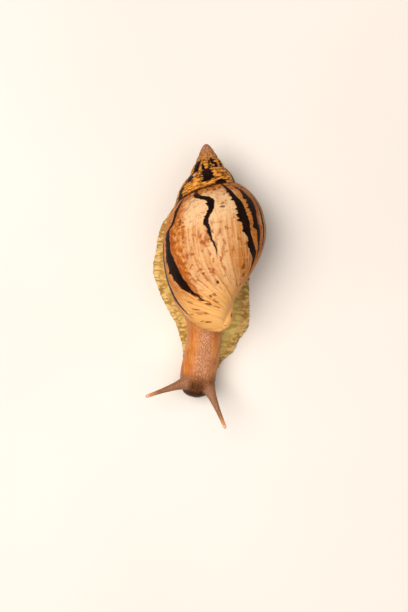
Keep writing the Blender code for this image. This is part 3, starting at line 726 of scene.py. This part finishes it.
def make_eye(name, root, tip):
    """The round knob at a tentacle's end."""
    root, tip = np.array(root), np.array(tip)
    forward = (tip - root) / np.linalg.norm(tip - root)
    centre = tip + forward * EYE_RADIUS * 0.62
    eye = raw_object(name, [outward(ball_form((0, 0, 0), (1.2, 1.2, EYE_RADIUS)))])
    eye.data.transform(Vector(forward).to_track_quat("Z", "Y").to_matrix().to_4x4())
    eye.data.transform(Matrix.Translation(Vector(centre * MM)))
    eye.data.shade_smooth()
    far = np.array([v.co for v in eye.data.vertices]) / MM
    sight = forward + np.array((0, 0, 0.12))
    sight /= np.linalg.norm(sight)
    paint(eye.data, "pupil", ((far - centre) @ sight) / EYE_RADIUS)
    return eye


# Finishes

def sum_node(operation, backwards=False):
    """A way to work with dials that adds one Math node."""
    def work(*values):
        return values[0].finish.sum(operation, *(values[::-1] if backwards else values))
    return work


class Dial:
    """A number or colour inside a finish. A sum of dials adds the nodes that work it out."""

    def __init__(self, finish, socket):
        self.finish, self.socket = finish, socket

    __add__ = __radd__ = sum_node("ADD")
    __mul__ = __rmul__ = sum_node("MULTIPLY")
    __sub__, __rsub__ = sum_node("SUBTRACT"), sum_node("SUBTRACT", backwards=True)
    __truediv__, __pow__, __abs__ = sum_node("DIVIDE"), sum_node("POWER"), sum_node("ABSOLUTE")
    most, least = sum_node("MAXIMUM"), sum_node("MINIMUM")

    def ramp(self, low, high):
        """0 below low, 1 above high, and a smooth rise from one to the other; high may be the lower."""
        return self.finish.node(
            "ShaderNodeMapRange", {"interpolation_type": "SMOOTHSTEP"},
            {"Value": self, "From Min": low, "From Max": high})


class Finish:
    """A material under way, on one Principled shader."""

    def __init__(self, name, **constants):
        self.material = bpy.data.materials.new(name)
        self.material.use_nodes = True
        self.tree = self.material.node_tree
        self.shader = self.tree.nodes["Principled BSDF"]
        for socket, value in constants.items():
            self.shader.inputs[socket.replace("_", " ")].default_value = value

    def feed(self, socket, value):
        """Put a dial, a number or a colour's code into a socket."""
        if isinstance(value, Dial):
            self.tree.links.new(value.socket, socket)
        elif socket.type == "RGBA":
            socket.default_value = (*colour(value), 1.0)
        else:
            socket.default_value = value

    def node(self, kind, settings=None, inputs=None, output=0):
        """Add a node: its settings first, then its inputs by name or number."""
        made = self.tree.nodes.new(kind)
        for name, value in (settings or {}).items():
            if name == "bends":
                line = made.mapping.curves[0]
                while len(line.points) < len(value):
                    line.points.new(0.5, 0.5)
                for point, place in zip(line.points, value):
                    point.location = place
                    point.handle_type = "AUTO_CLAMPED"
                made.mapping.update()
            else:
                setattr(made, name, value)
        for name, value in (inputs or {}).items():
            self.feed(made.inputs[name], value)
        return Dial(self, made.outputs[output])

    def sum(self, operation, *values):
        return self.node("ShaderNodeMath", {"operation": operation}, dict(enumerate(values)))

    def mix(self, share, first, second):
        """The first colour where share is 0, the second where it is 1."""
        return self.node("ShaderNodeMix", {"data_type": "RGBA"}, {0: share, 6: first, 7: second}, 2)

    def layers(self, colour_under, *coats):
        """Colours laid one over another, each where its share is 1."""
        for share, tint in coats:
            colour_under = self.mix(share, colour_under, tint)
        return colour_under

    def vector(self, x, y, z):
        return self.node("ShaderNodeCombineXYZ", None, {0: x, 1: y, 2: z})

    def noise(self, vector, scale, detail):
        return self.node("ShaderNodeTexNoise", None, {"Vector": vector, "Scale": scale, "Detail": detail})

    def cells(self, vector, scale):
        return self.node("ShaderNodeTexVoronoi", None, {"Vector": vector, "Scale": scale}, "Distance")

    def painted(self, name):
        """A mask that is stored on the mesh."""
        return self.node("ShaderNodeAttribute", {"attribute_name": name}, None, "Fac")

    def place(self):
        return self.node("ShaderNodeTexCoord", None, None, "Object")

    def bump(self, height, distance, strength):
        inputs = {"Height": height, "Distance": distance, "Strength": strength}
        return self.node("ShaderNodeBump", None, inputs)

    def wear(self, **sockets):
        """Feed what changes over the surface, and hand over the material."""
        for name, value in sockets.items():
            self.feed(self.shader.inputs[name.replace("_", " ")], value)
        return self.material


def colour(code):
    """A colour from its six-figure code, as the shader counts it."""
    parts = [int(code[i:i + 2], 16) / 255 for i in (0, 2, 4)]
    return tuple(p / 12.92 if p <= 0.04045 else ((p + 0.055) / 1.055) ** 2.4 for p in parts)


def in_parts(*rows):
    """Rows of numbers that are written in thousandths."""
    return [tuple(value / 1000 for value in row) for row in rows]


def in_turns(*stripes):
    """Stripes as rows of band, turn and half width, from rows with both last in thousandths of a turn."""
    return [[(b, t / 1000, w / 1000) for b, t, w in rows] for rows in stripes]


# Stripes of the last whorl.
STRIPES = in_turns(
    [(0, 795, 4), (0.1, 802, 6), (0.2, 803, 9), (0.4, 808, 10), (0.6, 811, 8), (0.7, 819, 10),
     (0.8, 841, 12), (1, 841, 14), (1.1, 840, 17), (1.2, 829, 22), (1.3, 816, 21), (1.37, 802, 17),
     (1.41, 791, 13), (1.45, 774, 7), (1.5, 755, 4), (1.57, 715, 0)],
    [(0, 740, 6), (0.1, 733, 9), (0.2, 722, 12), (0.3, 695, 17), (0.35, 684, 14), (0.4, 675, 13),
     (0.5, 672, 12), (0.6, 673, 10), (0.7, 677, 9), (0.8, 686, 7.5), (0.9, 691, 9), (0.97, 692, 8),
     (1.02, 686, 6), (1.08, 682, 4), (1.16, 671, 3), (1.22, 668, 0)],
    [(0, 608, 4), (0.15, 601, 9), (0.25, 596, 10), (0.45, 589, 11), (0.56, 582, 14), (0.69, 579, 15),
     (0.85, 577, 16), (1, 575, 17), (1.035, 571, 15), (1.08, 569, 13), (1.12, 560, 9.5), (1.16, 553.5, 13),
     (1.19, 544, 14), (1.24, 527, 10.5), (1.32, 521, 4), (1.42, 515, 0)],
    [(0.05, 566, 0), (0.2, 550, 6), (0.25, 542, 8), (0.44, 535.5, 12.5), (0.56, 528, 15), (0.75, 528, 15),
     (0.875, 528.5, 13), (1, 529, 10), (1.04, 528, 11), (1.09, 519, 9), (1.14, 517, 7), (1.19, 509, 4),
     (1.28, 505, 0)],
    [(0.3, 492, 0), (0.6, 486, 6), (1, 483, 7), (1.15, 481, 5), (1.25, 478, 0)],
    [(0.9, 876, 0), (1, 890, 12), (1.18, 906, 20), (1.35, 908, 20), (1.45, 902, 13), (1.55, 895, 6),
     (1.66, 890, 0)],
)
# Single spots: turn, band, half width in turns, half height in bands and how dark, in thousandths.
SPOTS = in_parts(
    (637, 645, 8, 30, 800), (778, 740, 4, 80, 700), (676, 1390, 5.5, 13, 1000), (716, 1485, 6, 14, 800),
    (694, 1475, 4, 10, 700), (718, 1310, 5, 10, 700), (575, 1300, 7, 20, 700), (562, 1355, 6, 16, 700),
    (562, 1420, 5, 14, 700), (497, 1690, 30, 30, 800))
# Short dark dashes along the growth lines of the base, with growth instead of turn.
BASE_DASHES = in_parts(
    (836, 1450, 12, 22, 900), (847, 1500, 12, 14, 850), (852, 1550, 12, 14, 850), (843, 1590, 8, 15, 700),
    (947, 1575, 14, 16, 600), (958, 1635, 13, 14, 550), (1117, 1745, 22, 14, 950),
    (1112, 1710, 14, 10, 700), (905, 1500, 8, 20, 500), (1020, 1600, 12, 12, 500), (800, 1540, 7, 12, 500),
    (775, 1480, 8, 12, 600))
BROWN_SPOTS = in_parts(
    (647, 430, 6, 20, 800), (638, 550, 10, 30, 800), (648, 760, 6, 20, 500), (775, 420, 8, 30, 800),
    (786, 620, 10, 70, 700), (792, 820, 12, 80, 700), (772, 980, 12, 50, 500), (700, 1090, 15, 50, 850),
    (695, 1305, 6, 12, 800), (714, 1370, 5, 12, 800), (688, 1200, 7, 14, 700), (692, 1300, 8, 20, 700),
    (700, 1530, 10, 20, 600), (610, 220, 12, 100, 600), (620, 1850, 50, 20, 700), (800, 1620, 30, 20, 500))
# Dark blotches of the two whorls above the last one.
SPIRE_STRIPES = in_turns(
    [(0, -315, 30), (0.2, -318, 30), (0.4, -322, 36), (0.6, -324, 34), (0.7, -315, 0)],
    [(0, -160, 26), (0.1, -175, 24), (0.3, -202, 24), (0.4, -200, 14), (0.5, -150, 16), (0.9, -150, 20),
     (1, -175, 18)],
    [(0.7, -400, 0), (0.85, -398, 34), (1, -395, 40)],
    [(0, -530, 20), (0.5, -550, 35), (1, -540, 40)],
    [(0, -60, 14), (0.5, -75, 20), (1, -80, 20)],
    [(0, -1210, 40), (0.6, -1215, 36), (1, -1200, 30)],
    [(0.1, -1340, 0), (0.3, -1340, 10), (0.9, -1340, 12), (1, -1340, 0)],
    [(0.4, -1410, 0), (0.6, -1410, 16), (1, -1410, 20)],
)
NEAR_BLACK = "100806"
DARK_BROWN = "3A1606"
FRECKLE_BROWN = "8E3E0A"
RUST_BROWN = "964206"


def stripe(finish, turn, band, rows, ragged, spikes):
    """One dark stripe down the shell, from 0 beside it to 1 on it, spiked on its older side."""
    where = band * 0.5
    first = rows[0][1]
    bends = [(b / 2, (t - first) * 2 + 0.5) for b, t, _ in rows]
    middle = finish.node("ShaderNodeFloatCurve", {"bends": bends}, {"Value": where}) * 0.5 + (first - 0.25)
    widths = [(b / 2, w * 20) for b, _, w in rows]
    half = finish.node("ShaderNodeFloatCurve", {"bends": widths}, {"Value": where})
    beside = turn + ragged - middle
    inside = half * (0.05 + spikes * beside.ramp(0.0, 0.004)) - abs(beside)
    if rows[0][2] > 0 and rows[0][0] > 0:
        inside = inside - band.ramp(rows[0][0] + 0.01, rows[0][0] - 0.02)
    return inside.ramp(-0.0020, 0.0022)


def spot(turn, band, row):
    """One blotch on the shell."""
    at, down, half, tall, dark = row
    distance = ((turn - at) / half) ** 2 + ((band - down) / tall) ** 2
    return distance.ramp(1.6, 0.5) * dark


def joined(marks):
    """The darkest of several marks at every place."""
    whole = marks[0]
    for mark in marks[1:]:
        whole = whole.most(mark)
    return whole


def shell_finish():
    """Cream and orange-tan shell with near-black stripes, brown mottling, fine growth lines and painted shade
    on its limbs and along its sutures.
    """
    finish = Finish("striped_shell", Specular_IOR_Level=0.05)
    map_at = finish.node("ShaderNodeUVMap", {"uv_map": "growth"})
    turn, band = (finish.node("ShaderNodeSeparateXYZ", None, {0: map_at}, output) for output in (0, 1))
    growth = turn + (band - 1).most(0.0) ** GROWTH_SWEEP_POWER * GROWTH_SWEEP
    last = turn.ramp(-0.012, 0.012)
    spire = 1 - last
    way = band.least(1.0) * 0.55 + (band - 1).most(0.0)
    sides = band.ramp(1.6, 1.25) * 0.8 + 0.2

    def patches(along, down, seed, detail):
        """Noise over the unrolled shell."""
        return finish.noise(finish.vector(along, down, seed), 1.0, detail)

    streaks = patches(growth * 95, way * 2.2, 0.0, 3.0)
    clouds = patches(growth * 15, way * 4.0, 4.0, 3.0)
    lines = patches(growth * 420, way * 6, 9.0, 2.0)
    rings = patches(turn * 30, way * 75, 2.0, 1.0)
    blots = patches(growth * 70, way * 14, 6.0, 3.0)
    spiral = patches(turn * 13, band * 13, 11.0, 3.0)
    mottle = patches(turn * 34, band * 9, 13.0, 4.0)
    rust = patches(growth * 80, way * 24, 14.0, 3.0)
    specks = patches(growth * 62, way * 26, 3.0, 1.5)

    # Pale ground: cream under the crown, orange towards both sides and on the spire.
    crown = turn.ramp(0.53, 0.63) * turn.ramp(0.80, 0.745) * band.ramp(0.0, 0.28)
    crown = crown * (1 - band.ramp(0.65, 1.2) * 0.5)
    crown = crown + band.ramp(1.35, 1.75) * turn.ramp(0.4, 0.55) * 0.35
    pale = (crown * last + (clouds - 0.5) * 1.1 + (streaks - 0.5) * 0.7).ramp(0.05, 0.95)
    rusty = (clouds * 0.5 + blots * 0.4 + streaks * 0.35).ramp(0.60, 0.84)
    # Painted shade: the shell's limbs, the sides turned away from the camera, are darkened to orange-brown.
    painted_limb_shade = turn.ramp(0.55, 0.44).most(turn.ramp(0.88, 0.97)) * last * band.ramp(1.4, 1.1)
    fineness = band.ramp(1.75, 1.25) * 0.8 + 0.2
    base = finish.layers(
        finish.mix(pale, "BC7630", "E0B686"),
        (rusty * (1 - pale * 0.5), "94480F"),
        (band.ramp(1.3, 1.6) * last * 0.85, "F2B262"),
        # painted shade on the limbs
        (painted_limb_shade * 0.75, "94560A"),
        (spire, finish.mix(spiral.ramp(0.35, 0.65), "C8761C", "EBA03A")),
        (spire * (mottle * 0.65 + spiral * 0.35).ramp(0.54, 0.43) * 0.85, "3E1C08"),
        (spire * mottle.ramp(0.58, 0.68) * 0.6, "E8B272"),
        (lines.ramp(0.50, 0.72) * fineness * 0.3, "96541C"),
        (streaks.ramp(0.50, 0.66) * band.ramp(0.6, 1.2) * 0.35, "EFC08A"),
        (streaks.ramp(0.48, 0.36) * band.ramp(0.6, 1.1) * band.ramp(1.7, 1.5) * 0.45, "B0621C"),
        (rings.ramp(0.52, 0.7) * 0.14, "F2C898"),
        (clouds.ramp(0.50, 0.36) * band.ramp(1.3, 1.6) * last * 0.25, "A8601C"))

    # Brown mottling and freckles, lengthened along the growth lines.
    ragged = (patches(turn * 40, way * 30, 7.0, 3.0) - 0.5) * 0.024
    jag = (patches(turn * 30, way * 42, 8.0, 3.0) - 0.5) * 0.009
    spikes = (patches(turn * 12, way * 20, 12.0, 2.0) - 0.50).most(0.0) * 0.2
    crowd = abs(turn - 0.72).ramp(0.16, 0.05) * abs(band - 1.2).ramp(0.5, 0.15)
    crowd = crowd.most(abs(turn - 0.785).ramp(0.06, 0.02) * abs(band - 0.8).ramp(0.6, 0.3))
    crowd = crowd.most(turn.ramp(0.66, 0.58) * 0.8).most(spire * 0.8)
    crowd = crowd.most(turn.ramp(0.85, 0.9)).most(0.3)
    left = turn.ramp(0.745, 0.775) * turn.ramp(0.86, 0.82)
    rust_spots = (rust * 0.6 + blots * 0.4).ramp(0.50, 0.66)
    fleck = (specks + crowd * 0.10 + left * 0.05 + (clouds - 0.5) * 0.25).ramp(0.67, 0.80)
    smudge = (blots + crowd * 0.06).ramp(0.60, 0.78)
    stain = joined([spot(turn + ragged * 1.8, band + jag * 7, row) for row in BROWN_SPOTS]) * last
    dashes = [spot(growth + ragged * 0.8, band + jag * 3, row) for row in BASE_DASHES]
    dashes += [spot(turn + ragged * 0.7, band + jag * 1.5, row) for row in SPOTS]
    wider = [[(b, t - w * 0.5, w * 1.5 + 0.003) for b, t, w in STRIPES[i]] for i in (0, 3)]
    halo = joined([stripe(finish, turn, band, rows, ragged * 1.8, 0.0) for rows in wider]) * last
    base = finish.layers(
        base,
        (left * band.ramp(0.1, 0.4) * band.ramp(1.6, 1.2) * 0.35, "C87A34"),
        (rust_spots * (0.16 + left * 0.44) * sides, "9A4408"),
        (rust.ramp(0.48, 0.34) * left * 0.45, "E8B684"),
        ((fleck * 0.75).most(smudge * 0.6) * sides, FRECKLE_BROWN),
        ((stain * (0.2 + rust.ramp(0.36, 0.6) * 0.8)).most(halo * 0.6), RUST_BROWN),
        (joined(dashes) * last * 0.95, "4C1C07"))

    # Near-black stripes: those of the photo, and others like them round the hidden sides.
    marks = [stripe(finish, turn, band, rows, ragged * 0.3 + jag * 0.7, spikes) for rows in STRIPES]
    gaps = rust.ramp(0.54, 0.46).most(band.ramp(1.47, 1.40))
    marks = [marks[0] * gaps] + marks[1:]
    dark = joined(marks) * last
    loose = ragged * 3.0 + (spiral - 0.5) * 0.05
    upper = [stripe(finish, turn, band, rows, loose, spikes) for rows in SPIRE_STRIPES]
    dark = dark.most(joined(upper) * spire)
    swing = patches(turn * 5, band * 3.2, 5.0, 2.0)
    phase = turn * 10.5 + (swing - 0.5) * 1.5
    comb = abs(finish.sum("FRACT", phase) - 0.5)
    girth = patches(turn * 9, band * 2.3, 3.0, 2.0)
    wild = (comb + ragged * 4 + jag * 3 - 0.07 - (girth - 0.42) * 0.8).ramp(0.03, -0.03)
    elsewhere = turn.ramp(0.45, 0.42).most(turn.ramp(0.91, 0.94)) * band.ramp(1.75, 1.5)
    elsewhere = elsewhere * last + spire * turn.ramp(-0.52, -0.56) * (1 - turn.ramp(-1.16, -1.15))
    elsewhere = elsewhere.most(turn.ramp(-1.43, -1.45))
    tip_fade = turn.ramp(-3.9, -3.0)
    dark = dark.most(wild * elsewhere * tip_fade)
    depth = patches(turn * 60, band * 12, 1.0, 2.0).ramp(0.4, 0.7)

    early = patches(turn * 34, band * 1.5, 15.0, 2.0)
    # Painted shade in the suture creases: a darker band just above each suture of the spire, strongest over
    # part of a turn.
    painted_suture_shade = band.ramp(0.84, 0.97) * spire * turn.ramp(-0.44, -0.36) * turn.ramp(-0.10, -0.16)
    painted_suture_shade = painted_suture_shade.most(band.ramp(0.93, 0.99) * spire * 0.7)
    under_suture = band.ramp(0.34, 0.10) * last * (1 - dark)
    base = finish.layers(
        base,
        (dark, finish.mix(depth * 0.35, NEAR_BLACK, DARK_BROWN)),
        (turn.ramp(-1.5, -2.4) * 0.5, finish.mix(early, "6A381C", "D09468")),
        (1 - tip_fade, finish.mix(early.ramp(0.42, 0.56), "8A543A", "B98262")),
        # painted shade: a dark line right along each suture and the darker band just above the spire's
        # sutures
        ((band.ramp(0.03, 0.0) * 0.75).most(painted_suture_shade), DARK_BROWN),
        (under_suture * mottle.ramp(0.38, 0.56) * 0.85, "B4641E"),
        (band.ramp(0.30, 0.12) * last * specks.ramp(0.50, 0.62) * 0.8, "4A200A"),
        (turn.ramp(1.05, 1.15), "E6D6CC"))

    height = lines * fineness * 0.5 + streaks * 0.5 + rings * 0.2 + blots * 0.15
    rough = 0.40 + lines * 0.16 + rusty * 0.05
    return finish.wear(Base_Color=base, Roughness=rough, Normal=finish.bump(height, 0.25 * MM, 0.6))


def skin_finish():
    """Moist beaded skin: orange sides, a grey-pink band of beads, brown head with a dark face partly painted
    as shade, yellow-olive foot.
    """
    finish = Finish("snail_skin", Coat_Weight=0.02, Coat_Roughness=0.25, Subsurface_Weight=0.1,
                    Subsurface_Scale=0.003, Specular_IOR_Level=0.12)
    bead, band, margin, low_side, head, face, horn = (
        finish.painted(name) for name in ("bead", "band", "margin", "low_side", "head", "face", "horn"))
    at = finish.place()
    clouds = finish.noise(at, 160, 3.0)
    grain = finish.noise(at, 900, 2.0)

    def stretched(x, y, z):
        return finish.node("ShaderNodeMapping", {"vector_type": "POINT"}, {"Vector": at, "Scale": (x, y, z)})

    threads = finish.noise(stretched(1.0, 0.14, 1.0), 850, 2.0)
    dome = finish.cells(stretched(1.0, 0.62, 1.0), 1150).ramp(0.62, 0.2)
    wrinkle = finish.noise(stretched(0.3, 1.0, 0.6), 460, 2.0)

    side = finish.layers(
        finish.mix(clouds.ramp(0.35, 0.7), "B8682A", "CA823E"),
        (threads.ramp(0.48, 0.64) * 0.35, "DDA066"),
        (threads.ramp(0.46, 0.34) * 0.15, "96501E"))
    frill = finish.layers(
        finish.mix((wrinkle * 0.8 + bead * 0.2).ramp(0.38, 0.60), "9C7A34", "E0C07A"),
        (clouds.ramp(0.56, 0.70) * 0.25, "7A5620"),
        (clouds.ramp(0.46, 0.34) * 0.4, "E2C688"))
    skin = finish.layers(
        side,
        (band * 0.85, finish.mix(dome * (0.5 + clouds), "A46C48", "D09A78")),
        (head * 0.92, finish.mix(dome, "683A18", "86532C")),
        (low_side * (1 - head * 0.4), finish.mix(wrinkle.ramp(0.36, 0.62), "BC9C4A", "DEC272")),
        (margin * (0.6 + clouds * 0.5).least(1.0), frill),
        (horn.ramp(0.03, 0.14), finish.mix(dome * 0.6 + clouds * 0.3, "84563A", "A67A5A")),
        (horn.ramp(0.72, 1.0) * 0.85, "D8945E"),
        # dark face: partly the head's own dark brown, partly painted shade
        (face * 0.95, "341605"),
        ((grain - 0.5).ramp(0.0, 0.3) * 0.15, "5E3820"))

    normal = finish.bump(dome * (1 - face * 0.8) + grain * 0.3 + wrinkle * margin, 0.12 * MM, 0.5)
    rough = 0.36 + grain * 0.2 - bead * 0.06
    return finish.wear(Base_Color=skin, Roughness=rough, Normal=normal)


def mantle_finish():
    """Pale tan collar with soft mottling."""
    finish = Finish("mantle_flesh", Coat_Weight=0.3, Coat_Roughness=0.2, Subsurface_Weight=0.15,
                    Subsurface_Scale=0.003)
    at = finish.place()
    clouds = finish.noise(at, 220, 3.0)
    grain = finish.cells(at, 1100)
    base = finish.mix(clouds.ramp(0.35, 0.65), "B98A50", "E2C08C")
    base = finish.mix(grain.ramp(0.35, 0.1) * 0.35, base, "F2DDB4")
    normal = finish.bump(grain * -1.0 + clouds, 0.15 * MM, 0.5)
    return finish.wear(Base_Color=base, Roughness=0.34 + clouds * 0.15, Normal=normal)


def eye_finish():
    """Pale orange knob with a small black eye."""
    finish = Finish("tentacle_eye", Coat_Weight=0.6, Coat_Roughness=0.06)
    at = finish.place()
    grain = finish.noise(at, 2200, 2.0)
    knob = finish.mix(grain.ramp(0.35, 0.65), "D98E62", "F4BC92")
    pupil = (finish.painted("pupil") + (grain - 0.5) * 0.06).ramp(0.86, 0.91)
    base = finish.mix(pupil, knob, "14100E")
    normal = finish.bump(grain, 0.05 * MM, 0.4)
    return finish.wear(Base_Color=base, Roughness=0.35 - pupil * 0.2, Normal=normal)


def floor_finish():
    """Plain pale floor with a very soft grain."""
    finish = Finish("pale_floor", Specular_IOR_Level=0.3)
    at = finish.place()
    clouds = finish.noise(at, 3.0, 3.0)
    grain = finish.noise(at, 700, 2.0)
    base = finish.mix(clouds.ramp(0.3, 0.7), "DCD5CE", "E2DBD4")
    normal = finish.bump(grain, 0.05 * MM, 0.2)
    return finish.wear(Base_Color=base, Roughness=0.6 + grain * 0.1, Normal=normal)


def set_piece(piece, finish, slot, *nodes):
    """Give a piece its finish, hang it from the root body and hide the solids that it stands for. The slot is
    not used.
    """
    piece.data.materials.clear()
    piece.data.materials.append(finish)
    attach(piece, "root")
    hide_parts(*nodes)


def make_stage():
    """Floor, lights and the camera straight above, as in the photo."""
    floor = placed_mesh("floor", [(-3, -3, 0), (3, -3, 0), (3, 3, 0), (-3, 3, 0)], [(0, 1, 2, 3)])
    floor.location.z = -0.05 * MM
    floor.data.materials.append(floor_finish())

    def panel(name, place, size, power, tint):
        light = bpy.data.lights.new(name, "AREA")
        light.shape, light.size, light.energy, light.color = "DISK", size, power, tint
        lamp = placed(name, light)
        lamp.location = place
        lamp.rotation_euler = (-Vector(place)).to_track_quat("-Z", "Y").to_euler()

    panel("key_panel", (-0.6, 0.1, 1.5), 1.2, 24, (1.0, 0.95, 0.89))
    panel("top_panel", (0.1, -0.2, 1.9), 2.2, 24, (1.0, 0.97, 0.94))
    world = bpy.data.worlds.new("soft_room")
    world.use_nodes = True
    world.node_tree.nodes["Background"].inputs[0].default_value = (1.0, 0.96, 0.90, 1)
    world.node_tree.nodes["Background"].inputs[1].default_value = 0.16
    bpy.context.scene.world = world
    bpy.context.scene.view_settings.view_transform = "Standard"

    camera = bpy.data.cameras.new("camera")
    camera.lens = 62.87
    camera.sensor_width = 36
    camera.clip_start = 0.01
    bpy.context.scene.camera = placed("camera", camera)
    bpy.context.scene.camera.location = CAMERA_PLACE


make_stage()
set_piece(make_shell(), shell_finish(), "shell", "shell")
set_piece(make_mantle(), mantle_finish(), "mantle", "mantle_collar")
set_piece(
    make_skin(), skin_finish(), "skin", "back", "neck", "head", "mouth", "upper_tentacle_right",
    "upper_tentacle_left", "lower_tentacle_right", "lower_tentacle_left", "foot_front", "foot_middle", "tail")
eye_look = eye_finish()
for name, tentacle in (("eye_right", TENTACLES[0]), ("eye_left", TENTACLES[1])):
    set_piece(make_eye(name + "_knob", tentacle[0], tentacle[1]), eye_look, "eye", name)

bpy.context.view_layer.update()
